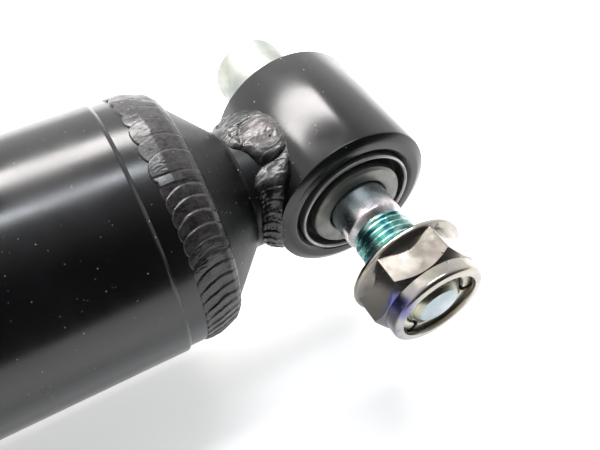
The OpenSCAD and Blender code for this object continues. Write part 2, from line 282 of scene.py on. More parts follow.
def new_group(name, inputs, outputs):
    """A shader node group with its sockets, and its input and output nodes."""
    group = bpy.data.node_groups.new(name, "ShaderNodeTree")
    for label, kind, value in inputs:
        socket = group.interface.new_socket(label, in_out="INPUT", socket_type=kind)
        if value is not None:
            socket.default_value = value
    for label, kind in outputs:
        group.interface.new_socket(label, in_out="OUTPUT", socket_type=kind)
    return group, group.nodes.new("NodeGroupInput"), group.nodes.new("NodeGroupOutput")


def add(tree, kind, **settings):
    """Adds a node; each setting is an input's value where an input has that name, else a property."""
    node = tree.nodes.new(kind)
    for key, value in settings.items():
        if key in node.inputs.keys():
            node.inputs[key].default_value = value
        else:
            setattr(node, key, value)
    return node


def math_node(tree, operation, a, b=None):
    """A Math node, each input a number or a socket."""
    node = tree.nodes.new("ShaderNodeMath")
    node.operation = operation
    for index, value in enumerate((a, b)):
        if value is None:
            continue
        if isinstance(value, (int, float)):
            node.inputs[index].default_value = value
        else:
            tree.links.new(value, node.inputs[index])
    return node.outputs[0]


def remap(tree, value, low, high, new_low=0.0, new_high=1.0, smooth_step=True):
    """Takes a value's range from low to high over to a new range, and holds it at the ends."""
    node = add(tree, "ShaderNodeMapRange", interpolation_type="SMOOTHSTEP" if smooth_step else "LINEAR")
    for index, number in ((1, low), (2, high), (3, new_low), (4, new_high)):
        node.inputs[index].default_value = number
    tree.links.new(value, node.inputs[0])
    return node.outputs[0]


def between(tree, value, start, full, fade, end):
    """A mask that rises from start to full and falls from fade to end, in millimetres."""
    return math_node(tree, "MULTIPLY", remap(tree, value, start * MM, full * MM),
                     remap(tree, value, end * MM, fade * MM))


def noise_value(tree, vector, scale, detail=2.0, roughness=0.5, distortion=0.0):
    node = add(tree, "ShaderNodeTexNoise", Scale=scale, Detail=detail, Roughness=roughness,
               Distortion=distortion)
    tree.links.new(vector, node.inputs["Vector"])
    return node.outputs["Fac"]


def specks_group():
    """Small round specks, strewn thinly: each cell of the pattern may hold one."""
    group, enter, leave = new_group("Specks", [("Vector", "NodeSocketVector", None),
                                               ("Scale", "NodeSocketFloat", 900.0),
                                               ("Size", "NodeSocketFloat", 0.2),
                                               ("Share", "NodeSocketFloat", 0.1)],
                                    [("Mask", "NodeSocketFloat")])
    cells = add(group, "ShaderNodeTexVoronoi", Randomness=1.0)
    group.links.new(enter.outputs["Vector"], cells.inputs["Vector"])
    group.links.new(enter.outputs["Scale"], cells.inputs["Scale"])
    split = add(group, "ShaderNodeSeparateColor")
    group.links.new(cells.outputs["Color"], split.inputs[0])
    chosen = math_node(group, "LESS_THAN", split.outputs[0], enter.outputs["Share"])
    radius = math_node(group, "MULTIPLY", enter.outputs["Size"], split.outputs[1])
    inside = math_node(group, "SUBTRACT", radius, cells.outputs["Distance"])
    edge = remap(group, inside, 0.0, 0.05)
    group.links.new(math_node(group, "MULTIPLY", edge, chosen), leave.inputs["Mask"])
    return group


def grain_group():
    """Fine and coarse unevenness of a surface: a height, and a slow variation for colour."""
    group, enter, leave = new_group("Grain", [("Vector", "NodeSocketVector", None),
                                              ("Fine scale", "NodeSocketFloat", 2500.0),
                                              ("Coarse scale", "NodeSocketFloat", 120.0)],
                                    [("Height", "NodeSocketFloat"), ("Patches", "NodeSocketFloat")])
    fine = add(group, "ShaderNodeTexNoise", Detail=3.0, Roughness=0.6)
    coarse = add(group, "ShaderNodeTexNoise", Detail=4.0, Roughness=0.55)
    for node, label in ((fine, "Fine scale"), (coarse, "Coarse scale")):
        group.links.new(enter.outputs["Vector"], node.inputs["Vector"])
        group.links.new(enter.outputs[label], node.inputs["Scale"])
    group.links.new(fine.outputs["Fac"], leave.inputs["Height"])
    group.links.new(remap(group, coarse.outputs["Fac"], 0.3, 0.7), leave.inputs["Patches"])
    return group


def turning_group():
    """Fine machining lines round an axis: noise that changes only with the distance along it."""
    group, enter, leave = new_group("Turning lines", [("Vector", "NodeSocketVector", None),
                                                      ("Lines", "NodeSocketFloat", 4000.0),
                                                      ("Along", "NodeSocketVector", (1, 0, 0))],
                                    [("Lines", "NodeSocketFloat")])
    share = group.nodes.new("ShaderNodeVectorMath")
    share.operation = "DOT_PRODUCT"
    group.links.new(enter.outputs["Vector"], share.inputs[0])
    group.links.new(enter.outputs["Along"], share.inputs[1])
    lines = add(group, "ShaderNodeTexNoise", noise_dimensions="1D", Detail=3.0, Roughness=0.7)
    scaled = math_node(group, "MULTIPLY", share.outputs["Value"], enter.outputs["Lines"])
    group.links.new(scaled, lines.inputs["W"])
    lines.inputs["Scale"].default_value = 1.0
    group.links.new(lines.outputs["Fac"], leave.inputs["Lines"])
    return group


EFFECTS = {"specks": specks_group(), "grain": grain_group(), "turning": turning_group()}


# ---- Materials ----

class Finish:
    """A material being mixed: its shader, its Object coordinates, and short ways to add effects."""

    def __init__(self, name, colour, roughness, metallic=0.0, **sockets):
        self.material = bpy.data.materials.new(name)
        self.material.use_nodes = True
        self.material.diffuse_color = (*colour, 1)
        self.tree = self.material.node_tree
        self.shader = self.tree.nodes["Principled BSDF"]
        self.place = self.tree.nodes.new("ShaderNodeTexCoord").outputs["Object"]
        self.colour, self.roughness, self.height = colour, roughness, None
        self.shader.inputs["Metallic"].default_value = metallic
        for key, value in sockets.items():
            self.shader.inputs[key.replace("_", " ")].default_value = value
        self.mixed = None
        self.rough = None

    def effect(self, name, **values):
        """Lays a shared effect over the piece and gives its outputs."""
        node = self.tree.nodes.new("ShaderNodeGroup")
        node.node_tree = EFFECTS[name]
        self.tree.links.new(self.place, node.inputs["Vector"])
        for key, value in values.items():
            node.inputs[key.replace("_", " ")].default_value = value
        return node.outputs

    def tint(self, mask, colour, amount=1.0, low=0.0, high=1.0):
        """Mixes a colour in where the mask is high."""
        mix = self.tree.nodes.new("ShaderNodeMix")
        mix.data_type = "RGBA"
        if self.mixed is None:
            mix.inputs["A"].default_value = (*self.colour, 1)
        else:
            self.tree.links.new(self.mixed, mix.inputs["A"])
        if isinstance(colour, tuple):
            mix.inputs["B"].default_value = (*colour, 1)
        else:
            self.tree.links.new(colour, mix.inputs["B"])
        self.tree.links.new(remap(self.tree, mask, low, high, 0.0, amount), mix.inputs["Factor"])
        self.mixed = mix.outputs["Result"]
        return self

    def polish(self, mask, low, high):
        """Roughness from low where the mask is 0 to high where it is 1."""
        self.rough = remap(self.tree, mask, 0.0, 1.0, low, high, smooth_step=False)
        return self

    def roughen(self, mask, amount):
        base = self.rough if self.rough is not None else self.roughness
        self.rough = math_node(self.tree, "ADD", math_node(self.tree, "MULTIPLY", mask, amount), base)
        return self

    def raise_by(self, mask, micrometres):
        """Adds a height in thousandths of a millimetre, for the surface's bump."""
        height = math_node(self.tree, "MULTIPLY", mask, micrometres * 1e-6)
        self.height = height if self.height is None else math_node(self.tree, "ADD", self.height, height)
        return self

    def done(self):
        if self.mixed is None:
            self.shader.inputs["Base Color"].default_value = (*self.colour, 1)
        else:
            self.tree.links.new(self.mixed, self.shader.inputs["Base Color"])
        if self.rough is None:
            self.shader.inputs["Roughness"].default_value = self.roughness
        else:
            self.tree.links.new(self.rough, self.shader.inputs["Roughness"])
        if self.height is not None:
            bump = add(self.tree, "ShaderNodeBump", Strength=1.0, Distance=1.0)
            self.tree.links.new(self.height, bump.inputs["Height"])
            self.tree.links.new(bump.outputs["Normal"], self.shader.inputs["Normal"])
        return self.material


def satin_black(name, grey, roughness, coarse=90.0, dust=0.1, gloss=0.5):
    """Satin black paint over turned steel: faint orange peel, and dust specks of two sizes."""
    finish = Finish(name, grey, roughness, Specular_IOR_Level=gloss)
    grain = finish.effect("grain", Fine_scale=3200.0, Coarse_scale=coarse)
    dust_specks = finish.effect("specks", Scale=900.0, Size=0.15, Share=dust)
    fine_dust = finish.effect("specks", Scale=2200.0, Size=0.30, Share=dust * 0.3)
    finish.tint(grain["Patches"], tuple(c * 1.6 for c in grey), 0.6)
    finish.tint(dust_specks["Mask"], (0.50, 0.49, 0.47), 0.8)
    finish.tint(fine_dust["Mask"], (0.26, 0.25, 0.25), 0.6)
    finish.polish(grain["Patches"], roughness - 0.03, roughness + 0.05)
    finish.roughen(dust_specks["Mask"], 0.4)
    finish.raise_by(grain["Height"], 5.0)
    finish.raise_by(dust_specks["Mask"], 10.0)
    return finish.done()


def weld_paint(name, top_highlight):
    """Black paint over weld metal: fine rough hairlines, specks of spatter and, on its upper side, a
    lighter grey painted along the hairlines as a painted highlight, as strong as top_highlight says."""
    finish = Finish(name, (0.006, 0.006, 0.0075), 0.24)
    grain = finish.effect("grain", Fine_scale=2200.0, Coarse_scale=420.0)
    dust = finish.effect("specks", Scale=1100.0, Size=0.16, Share=0.16)
    lines = noise_value(finish.tree, finish.place, 1500.0, 4.0, 0.6, 0.8)
    height = add(finish.tree, "ShaderNodeSeparateXYZ")
    finish.tree.links.new(finish.place, height.inputs[0])
    # Painted highlight: above 11.8 mm the upper side is lightened along its hairlines, standing in for the
    # light it catches
    upper = math_node(finish.tree, "MULTIPLY", remap(finish.tree, height.outputs["Z"], 11.8 * MM, 14 * MM),
                      remap(finish.tree, lines, 0.40, 0.62, 0.35, 1.0))
    finish.tint(grain["Patches"], (0.013, 0.012, 0.012), 0.8)
    finish.tint(upper, (0.23, 0.195, 0.19), top_highlight)
    finish.tint(dust["Mask"], (0.35, 0.34, 0.33), 0.7)
    finish.polish(grain["Patches"], 0.2, 0.38)
    finish.raise_by(lines, 16.0)
    finish.raise_by(grain["Height"], 6.0)
    return finish.done()


def dull_steel(name, colour, roughness, axis, lines=3500.0):
    """Bare or dull plated steel with fine turning lines and cloudy patches."""
    finish = Finish(name, colour, roughness, metallic=1.0)
    grain = finish.effect("grain", Fine_scale=1600.0, Coarse_scale=300.0)
    turning = finish.effect("turning", Lines=lines, Along=AXES[axis])
    finish.tint(grain["Patches"], tuple(c * 0.72 for c in colour), 0.7)
    finish.polish(grain["Patches"], roughness - 0.06, roughness + 0.1)
    finish.raise_by(turning["Lines"], 3.0)
    finish.raise_by(grain["Height"], 3.0)
    return finish.done()


def black_rubber():
    finish = Finish("black_rubber", (0.006, 0.006, 0.007), 0.62, Specular_IOR_Level=0.4)
    grain = finish.effect("grain", Fine_scale=900.0, Coarse_scale=200.0)
    dust = finish.effect("specks", Scale=800.0, Size=0.25, Share=0.05)
    finish.tint(grain["Patches"], (0.012, 0.012, 0.012), 0.8)
    finish.tint(dust["Mask"], (0.2, 0.2, 0.19), 0.6)
    finish.polish(grain["Patches"], 0.5, 0.72)
    finish.raise_by(grain["Height"], 16.0)
    return finish.done()


def nut_zinc():
    """Bright zinc with a warm tint, rubbed and dinged by the tooling, and darkened by painted shade on its
    side towards the tube.
    """
    finish = Finish("nut_zinc", (0.38, 0.355, 0.30), 0.24, metallic=1.0)
    grain = finish.effect("grain", Fine_scale=1100.0, Coarse_scale=170.0)
    dings = finish.effect("specks", Scale=1300.0, Size=0.5, Share=0.14)
    warm = noise_value(finish.tree, finish.place, 95.0, 2.0)
    finish.tint(warm, (0.40, 0.345, 0.30), 0.8, 0.42, 0.62)
    finish.tint(grain["Patches"], (0.31, 0.295, 0.285), 0.7)
    where = add(finish.tree, "ShaderNodeSeparateXYZ")
    finish.tree.links.new(finish.place, where.inputs[0])
    # Painted shade: beyond 7.2 mm along X, towards the tube, the nut is darkened to stand in for the shade
    # and dark reflection there
    painted_shade_side = math_node(finish.tree, "MULTIPLY", remap(finish.tree, where.outputs["X"], 7.2 * MM, 8.2 * MM),
                      between(finish.tree, where.outputs["Y"], 32.2, 33.2, 41.5, 42.5))
    finish.tint(painted_shade_side, (0.10, 0.095, 0.09), 0.85)
    blued = math_node(finish.tree, "MULTIPLY", remap(finish.tree, where.outputs["Y"], 38 * MM, 39 * MM),
                      remap(finish.tree, where.outputs["X"], 3.5 * MM, 6.5 * MM))
    finish.tint(math_node(finish.tree, "MULTIPLY", blued, remap(finish.tree, warm, 0.40, 0.56, 0.3, 1.0)),
                (0.085, 0.085, 0.24), 0.9)
    finish.tint(dings["Mask"], (0.16, 0.145, 0.13), 0.6)
    finish.polish(grain["Patches"], 0.14, 0.3)
    finish.raise_by(grain["Height"], 10.0)
    finish.raise_by(dings["Mask"], -25.0)
    return finish.done()


def bolt_zinc():
    """Zinc on the bolt: dull grey-green on the shank, pale on the head, rainbow on the thread, and a painted
    pinkish highlight at the shank's end.
    """
    finish = Finish("bolt_zinc", (0.30, 0.34, 0.35), 0.26, metallic=1.0)
    tree = finish.tree
    grain = finish.effect("grain", Fine_scale=1500.0, Coarse_scale=240.0)
    where = add(tree, "ShaderNodeSeparateXYZ")
    tree.links.new(finish.place, where.inputs[0])
    along = where.outputs["Y"]
    bands = noise_value(tree, finish.place, 260.0, 3.0, 0.6, 0.8)
    shades = add(tree, "ShaderNodeValToRGB")
    tree.links.new(bands, shades.inputs["Fac"])
    stops = shades.color_ramp.elements
    stops[0].position, stops[0].color = 0.34, (0.04, 0.10, 0.12, 1)
    stops[1].position, stops[1].color = 0.70, (0.42, 0.36, 0.44, 1)
    for position, colour in ((0.44, (0.10, 0.30, 0.32, 1)), (0.53, (0.24, 0.48, 0.40, 1)),
                             (0.60, (0.50, 0.66, 0.66, 1))):
        stop = stops.new(position)
        stop.color = colour
    on_thread = between(tree, along, 22.2, 23.6, 38.5, 40.0)
    head = remap(tree, along, -15.8 * MM, -16.5 * MM)
    finish.tint(head, (0.40, 0.415, 0.37), 1.0)
    finish.tint(on_thread, shades.outputs["Color"], 1.0)
    finish.tint(remap(tree, along, 40.5 * MM, 41.5 * MM), (0.30, 0.36, 0.38), 1.0)
    across = tree.nodes.new("ShaderNodeVectorMath")
    across.operation = "MULTIPLY"
    tree.links.new(finish.place, across.inputs[0])
    across.inputs[1].default_value = (1, 0, 1)
    reach = tree.nodes.new("ShaderNodeVectorMath")
    reach.operation = "LENGTH"
    tree.links.new(across.outputs[0], reach.inputs[0])
    tip_edge = math_node(tree, "MULTIPLY", remap(tree, along, 40 * MM, 40.5 * MM),
                         remap(tree, reach.outputs["Value"], 3.9 * MM, 4.1 * MM))
    finish.tint(tip_edge, (0.34, 0.33, 0.24), 1.0)
    # Painted highlight: a pinkish white glare painted where the shank meets the thread
    painted_glare = between(tree, along, 18.5, 21.5, 22.2, 23.6)
    finish.tint(math_node(tree, "MULTIPLY", painted_glare, remap(tree, bands, 0.35, 0.6, 0.4, 1.0)),
                (0.80, 0.68, 0.70), 0.9)
    finish.tint(grain["Patches"], (0.20, 0.23, 0.24), 0.35)
    finish.polish(grain["Patches"], 0.2, 0.38)
    finish.roughen(head, 0.25)
    finish.raise_by(grain["Height"], 8.0)
    return finish.done()


def powder_coat(name, colour, roughness=0.38):
    """Thick matt coating with a fine grain and a little dust."""
    finish = Finish(name, colour, roughness)
    grain = finish.effect("grain", Fine_scale=700.0, Coarse_scale=60.0)
    dust = finish.effect("specks", Scale=500.0, Size=0.2, Share=0.05)
    finish.tint(grain["Patches"], tuple(c * 0.86 for c in colour), 0.6)
    finish.tint(dust["Mask"], (0.75, 0.75, 0.74), 0.5)
    finish.polish(grain["Patches"], roughness - 0.05, roughness + 0.08)
    finish.raise_by(grain["Height"], 16.0)
    return finish.done()


def foam():
    """Cellular foam: open pores, with painted shade darkening them inside."""
    finish = Finish("foam", (0.60, 0.47, 0.20), 0.85)
    grain = finish.effect("grain", Fine_scale=1500.0, Coarse_scale=180.0)
    pores = finish.effect("specks", Scale=1300.0, Size=0.45, Share=0.5)
    finish.tint(grain["Patches"], (0.50, 0.37, 0.14), 0.7)
    # Painted shade inside the pores
    finish.tint(pores["Mask"], (0.28, 0.20, 0.08), 0.6)
    finish.raise_by(pores["Mask"], -60.0)
    finish.raise_by(grain["Height"], 30.0)
    return finish.done()


def cast_aluminium():
    """Blasted casting, cloudy and finely pitted."""
    finish = Finish("cast_aluminium", (0.40, 0.405, 0.41), 0.46, metallic=1.0)
    grain = finish.effect("grain", Fine_scale=900.0, Coarse_scale=70.0)
    finish.tint(grain["Patches"], (0.31, 0.315, 0.32), 0.7)
    finish.polish(grain["Patches"], 0.4, 0.55)
    finish.raise_by(grain["Height"], 40.0)
    return finish.done()


def nylon():
    finish = Finish("nylon", (0.78, 0.75, 0.66), 0.45)
    grain = finish.effect("grain", Fine_scale=800.0, Coarse_scale=90.0)
    finish.tint(grain["Patches"], (0.70, 0.66, 0.55), 0.6)
    finish.raise_by(grain["Height"], 8.0)
    return finish.done()


MATERIALS = {
    "body_paint": satin_black("body_paint", (0.0035, 0.0035, 0.004), 0.20, dust=0.16),
    "cap_paint": satin_black("cap_paint", (0.0025, 0.0025, 0.003), 0.36, coarse=140.0, dust=0.6, gloss=0.32),
    # The two weld paints differ only in how much painted highlight lightens their upper side: little on the
    # cap's bead and lugs, more on the eye's weld
    "weld_paint": weld_paint("weld_paint", 0.12),
    "eye_weld_paint": weld_paint("eye_weld_paint", 0.45),
    "seat_paint": satin_black("seat_paint", (0.014, 0.014, 0.015), 0.32),
    "bush_shell_steel": dull_steel("bush_shell_steel", (0.34, 0.33, 0.33), 0.4, "Y"),
    "sleeve_steel": dull_steel("sleeve_steel", (0.20, 0.20, 0.185), 0.46, "Y"),
    "spring_steel": dull_steel("spring_steel", (0.50, 0.48, 0.42), 0.34, "Y"),
    "plain_steel": dull_steel("plain_steel", (0.42, 0.43, 0.45), 0.38, "X"),
    "machined_aluminium": dull_steel("machined_aluminium", (0.72, 0.73, 0.75), 0.30, "X", 5000.0),
    "bush_bronze": dull_steel("bush_bronze", (0.50, 0.34, 0.16), 0.40, "X"),
    "rod_chrome": dull_steel("rod_chrome", (0.80, 0.81, 0.82), 0.12, "X", 6000.0),
    "adjuster_brass": dull_steel("adjuster_brass", (0.66, 0.50, 0.22), 0.30, "Z"),
    "cam_steel": dull_steel("cam_steel", (0.50, 0.51, 0.52), 0.36, "X"),
    "black_rubber": black_rubber(),
    "slide_band": powder_coat("slide_band", (0.22, 0.13, 0.06)),
    "nut_zinc": nut_zinc(),
    "bolt_zinc": bolt_zinc(),
    "foam": foam(),
    "cast_aluminium": cast_aluminium(),
    "spring_paint": powder_coat("spring_paint", (0.20, 0.205, 0.215)),
    "nylon": nylon(),
}

# Every node of the frame gets the finish of its own slot; most are then replaced below
for part in frame["record"]["subparts"]:
    cad_piece = NODES[part["node"]]
    cad_piece.data.materials.clear()
    cad_piece.data.materials.append(MATERIALS[part["material_slot"]])


# ---- Eye, bush and pivot bolt ----

def eye_tube():
    rim, face, chamfer = EYE_FACE - 0.8, EYE_FACE, EYE_R - 1.7
    piece = turned("eye_tube_finished", [
        (BUSH_R, -face + 1.1), (BUSH_R + 1.2, -face), (chamfer, -face), (EYE_R, -rim), (EYE_R, rim),
        (chamfer, face), (BUSH_R + 1.2, face), (BUSH_R, face - 1.1)], "Y", steps=192, soft=0.22)
    return finish_piece(piece, MATERIALS["body_paint"], "damper_body")


def bush_shell():
    end = EYE_FACE + 0.6
    piece = turned("bush_shell_finished", [
        (BUSH_R - 0.7, -end + 0.3), (BUSH_R - 0.4, -end), (BUSH_R - 0.2, -end), (BUSH_R, -end + 0.3),
        (BUSH_R, end - 0.3), (BUSH_R - 0.2, end), (BUSH_R - 0.4, end), (BUSH_R - 0.7, end - 0.3)],
        "Y", steps=160, soft=0.08)
    return finish_piece(piece, MATERIALS["bush_shell_steel"], "damper_body")


def bush_rubber():
    """Rubber bonded between shell and sleeve, drawn in by its cure to a shallow trough."""
    end = EYE_FACE - 0.6
    inner, outer = SLEEVE_R + 0.05, BUSH_R - 0.7
    middle, half, depth = (inner + outer) / 2, (outer - inner) / 2, 1.5

    def trough(side):
        shares = [i / 6 - 1 for i in range(13)]
        return [(middle + half * t, side * (end - depth * math.cos(t * math.pi / 2))) for t in shares]

    piece = turned("bush_rubber_finished", trough(-1) + trough(1)[::-1], "Y", steps=128)
    return finish_piece(piece, MATERIALS["black_rubber"], "damper_body")


def inner_sleeve():
    end, bore = 15.9, SHANK_R + 0.2
    piece = turned("inner_sleeve_finished", [
        (bore, -end + 0.4), (bore + 0.4, -end), (SLEEVE_R - 0.5, -end), (SLEEVE_R, -end + 0.5),
        (SLEEVE_R, end - 0.5), (SLEEVE_R - 0.5, end), (bore + 0.4, end), (bore, end - 0.4)],
        "Y", steps=128, soft=0.12)
    return finish_piece(piece, MATERIALS["sleeve_steel"], "bush_sleeve")


def pivot_bolt():
    """Head, shank and tip are turned; the thread is one tooth carried round the bolt as a screw."""
    head_in, head_out, root = -16.0, -33.0, SHANK_R - 0.85
    body = turned("pivot_bolt_finished", [
        (0, head_out), (HEAD_R - 1.2, head_out), *arc((HEAD_R - 1.0, head_out + 1.0), 1.0, -90, 0, 6),
        (HEAD_R, head_in), (SHANK_R, head_in), (SHANK_R, 21.6), (SHANK_R - 0.3, 22.2), (root, 22.9),
        (root, 40.9), (3.9, 42.2), (0, 42.2)], "Y", steps=128, closed=False, soft=0.1)
    cut(body, bar(corners(SOCKET_FLATS), 8, (0, head_out + 3, 0), "Y", sides=6))
    smooth(body)
    thread = bolt_thread(root - 0.05, SHANK_R - 0.15, 22.5, 41.4)
    join(body, thread)
    return finish_piece(body, MATERIALS["bolt_zinc"], "pivot_bolt")


def bolt_thread(root, crest, start, end):
    """A closed tooth carried round the bolt as a screw, its ends faded into the root."""
    pitch, around = THREAD_PITCH, 72
    turns = (end - start) / pitch - 0.8
    section = [(0.02, 0.0), (0.40, 1.0), (0.60, 1.0), (0.98, 0.0), (0.90, -0.5), (0.10, -0.5)]
    rows = int(turns * around)

    def place(i, j):
        share, height = section[j]
        angle = TAU * i / around
        fade = min(i, rows - 1 - i, around // 2) / (around // 2)
        radius = root + (crest - root) * (height * fade if height > 0 else height)
        along = start + pitch * (i / around + share * 0.98)
        return Vector((radius * math.cos(angle), along, radius * math.sin(angle)))

    piece = grid_piece("thread", rows, len(section), place, wrap_rows=False)
    fill_ends(piece)
    smooth(piece, 40)
    return piece


def flange_nut():
    """Hexagon cut by a chamfer, joined to its flange and collar, then bored."""
    seat, collar_start, end = 31.6, 38.6, 42.38
    hexagon = bar(corners(NUT_FLATS), 7.3, (0, 35.85, 0), "Y", sides=6)
    hexagon.name = "flange_nut_finished"
    turn_about(hexagon, "Y", NUT_TURN)
    edit(hexagon, "EDGE")
    bpy.ops.object.mode_set(mode="OBJECT")
    for edge in hexagon.data.edges:
        a, b = (hexagon.data.vertices[i].co for i in edge.vertices)
        edge.select = abs(a.y - b.y) > 5 * MM
    bpy.ops.object.mode_set(mode="EDIT")
    bpy.ops.mesh.bevel(offset=0.28 * MM, segments=3, affect="EDGES")
    bpy.ops.object.mode_set(mode="OBJECT")
    chamfer = turned("chamfer", [(0, seat), (12, seat), (12, 37), (9.4, 39.5), (0, 39.5)], "Y", closed=False)
    cut(hexagon, chamfer, "INTERSECT")
    flange = turned("flange", [(0, 31.62), (10.5, 31.62), *arc((10.75, 32.3), 0.65, -90, 40, 7),
                               (10.45, 33.15), (10.1, 33.5), (9.2, 35.1), (0, 35.1)], "Y", closed=False)
    cut(hexagon, flange, "UNION")
    collar = turned("collar", [(0, collar_start), (9.05, collar_start), (9.05, 39.25), (9.38, 39.6),
                               (9.38, 41.2), *arc((8.6, 41.6), 0.78, 0, 90, 7), (0, end)], "Y", closed=False)
    cut(hexagon, collar, "UNION")
    cut(hexagon, bar(SHANK_R - 0.1, 14, (0, 37, 0), "Y", sides=96))
    cut(hexagon, turned("pocket", [(0, 39.6), (7.9, 39.6), (7.9, 41.3), (7.5, 41.7), (7.5, 42.0), (7.9, 43),
                                   (0, 43)], "Y", closed=False))
    smooth(hexagon, 25)
    return finish_piece(hexagon, MATERIALS["nut_zinc"], "flange_nut")


def nut_lock_ring():
    """Friction ring with three tabs cut in its inner edge."""
    piece = turned("nut_lock_ring_finished", [
        (5.95, 39.95), (7.8, 39.95), (7.8, 40.9), (7.55, 41.1), (6.2, 41.1), (5.95, 40.9)], "Y", soft=0.08)
    for angle in (25, 145, 265):
        tool = block((1.1, 3, 2.2), (0, 40.9, 6.9))
        turn_about(tool, "Y", angle)
        cut(piece, tool)
    smooth(piece)
    return finish_piece(piece, MATERIALS["spring_steel"], "nut_lock_ring")


# ---- Damper body ----

def end_cap():
    """Cone and neck, with the saddle of the eye cut into the neck's end."""
    cap = turned("end_cap_finished", [
        (0, 9), (NECK_R, 9), (NECK_R, X_CONE - 1.2), *arc((NECK_R + 1.3, X_CONE - 1.3), 1.3, 180, 135, 4),
        (21, X_BEAD - 0.4), (22.7, 30.4), (BORE_R, X_TUBE), (BORE_R, 41), (BORE_R - 3, 41),
        (BORE_R - 5, 36.5), (10, 33.5), (0, 33)], "X", steps=160, closed=False)
    cut(cap, bar(EYE_R, 40, (0, 0, 0), "Y", sides=192))
    smooth(cap)
    return finish_piece(cap, MATERIALS["cap_paint"], "damper_body")


def damper_tube():
    piece = turned("damper_tube_finished", [
        (BORE_R, X_TUBE), (BORE_R + 0.6, X_TUBE), (BAND_R, X_TUBE + 3), (BAND_R, X_STEP),
        (TUBE_R - 0.08, X_STEP + 0.55), (TUBE_R, X_STEP + 0.9), (TUBE_R, X_TUBE_END - 0.8),
        (TUBE_R - 0.8, X_TUBE_END), (BORE_R, X_TUBE_END), (BORE_R, 201.3), (BORE_R + 1.1, 201.3),
        (BORE_R + 1.1, 199.1), (BORE_R, 199.1)], "X", steps=256)
    return finish_piece(piece, MATERIALS["body_paint"], "damper_body")


def cap_weld():
    """A weld bead laid in overlapping crescents; for a stretch near the top they run flat and wide."""
    steps, across, ripple, slab = 1500, 44, 5.8, 9.5

    def top(theta, share):
        """Distance along the shock, and radius, of the bead's visible side."""
        flat = ease(theta, -75, -55) * (1 - ease(theta, 24, 31))
        bow = 4 * share * (1 - share)
        wander = 1.1 * soft_noise(theta / 7) + 0.5 * soft_noise(theta / 2.3, 4.0)
        fine = (theta + wander + 4.6 * bow ** 0.8) / ripple
        tooth, number = fine - math.floor(fine), math.floor(fine)
        size = 0.75 + 0.45 * soft_noise(number * 3.7, 1.0)
        crescent = size * ease(tooth, 0.0, 0.17) * (1 - tooth) ** 0.75
        broad = (theta + 3.0 * soft_noise(theta / 12, 9.0) + 3.4 * bow) / slab
        step, sheet = broad - math.floor(broad), math.floor(broad)
        plate = ease(step, 0.0, 0.12) * (1 - 0.55 * step) + 0.25 * soft_noise(sheet * 5.3, 2.0)
        lobe = abs(math.sin(math.pi * (broad if flat > 0.5 else fine))) ** 0.6
        left = X_BEAD_END + (0.8 * lobe - 0.1 if flat > 0.5 else 0.35 * lobe)
        right = X_BEAD - 0.6 + 0.25 * soft_noise(theta / 5, 7.0)
        x = right + (left - right) * share
        lip = 0.30 * flat + 0.14 * (1 - flat)
        rim = ease(share, 0.0, 0.05) * (1 - ease(share, 0.965, 1.0))
        round_off = 1 - (2 * share - 1) ** 6
        rough = 0.035 * soft_noise(theta * 1.3, share * 11) + 0.07 * soft_noise(theta / 3.5, share * 5, 2)
        facet = ease(theta, 24.5, 25.2) * (1 - ease(theta, 28.8, 29.4)) * ease(share, 0.4, 0.5)
        plain = 0.08 + 0.085 * (theta - 25)
        lift = rim * (lip + 0.12) + round_off * (0.40 * crescent * (1 - flat) + 0.17 * plate * flat + rough)
        lift += facet * (plain + lip - lift) * rim
        return x, min(bead_radius(x) + lift * 0.93 - 0.12, TUBE_R - 0.05)

    foot = [(34.5, BORE_R + 0.3), (31, BORE_R - 0.6), (X_BEAD, 21.2)]

    def place(i, j):
        theta = 360 * i / steps
        if j < across:
            share = 0.5 - 0.5 * math.cos(math.pi * j / (across - 1))
            x, radius = top(theta if theta < 180 else theta - 360, share)
        else:
            x, radius = foot[j - across]
        return Vector((x, radius * math.sin(math.radians(theta)), radius * math.cos(math.radians(theta))))

    bead = grid_piece("cap_weld_finished", steps, across + len(foot), place)
    smooth(bead, 50)
    return finish_piece(bead, MATERIALS["weld_paint"], "damper_body")


def bead_radius(x):
    """Radius of the plain bead at a distance along the shock."""
    outline = [(28.4, 20.9), (X_BEAD, 22.2), (30, 23.0), (31.8, 23.7), (33.8, 24.28), (36.6, 24.42)]
    for (x1, r1), (x2, r2) in zip(outline, outline[1:]):
        if x <= x2:
            return r1 + (r2 - r1) * (x - x1) / (x2 - x1)
    return outline[-1][1]


